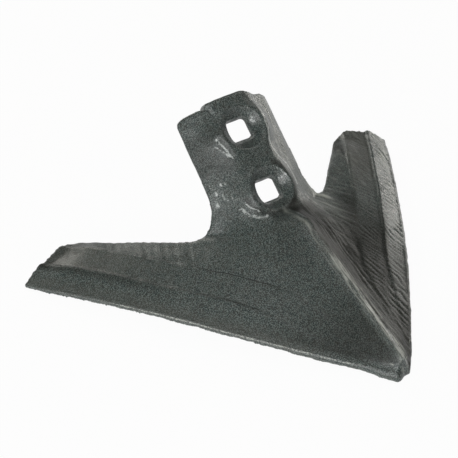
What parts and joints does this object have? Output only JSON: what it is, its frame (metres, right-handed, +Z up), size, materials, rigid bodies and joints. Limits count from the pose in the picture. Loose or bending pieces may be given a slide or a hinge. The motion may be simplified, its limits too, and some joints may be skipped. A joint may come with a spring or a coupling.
{
  "type": "duckfoot sweep",
  "caption": "V-shaped forged cultivator blade with swept wings, bevelled cutting edges, a blunt nose and an arched stem that has square bolt holes in countersunk dishes.",
  "frame": {"origin": "under the middle of the part's bounding box, on the plane that the nose and both wing ends stand on", "axes": "+X across the working width, +Y from the nose towards the wing ends, +Z up"},
  "size_m": [0.2, 0.1464, 0.07],
  "materials": {
    "black_paint": "thin black satin paint over a rough forged surface"
  },
  "bodies": {
    "root": {"sweep_blade": "black_paint"}
  },
  "joints": []
}
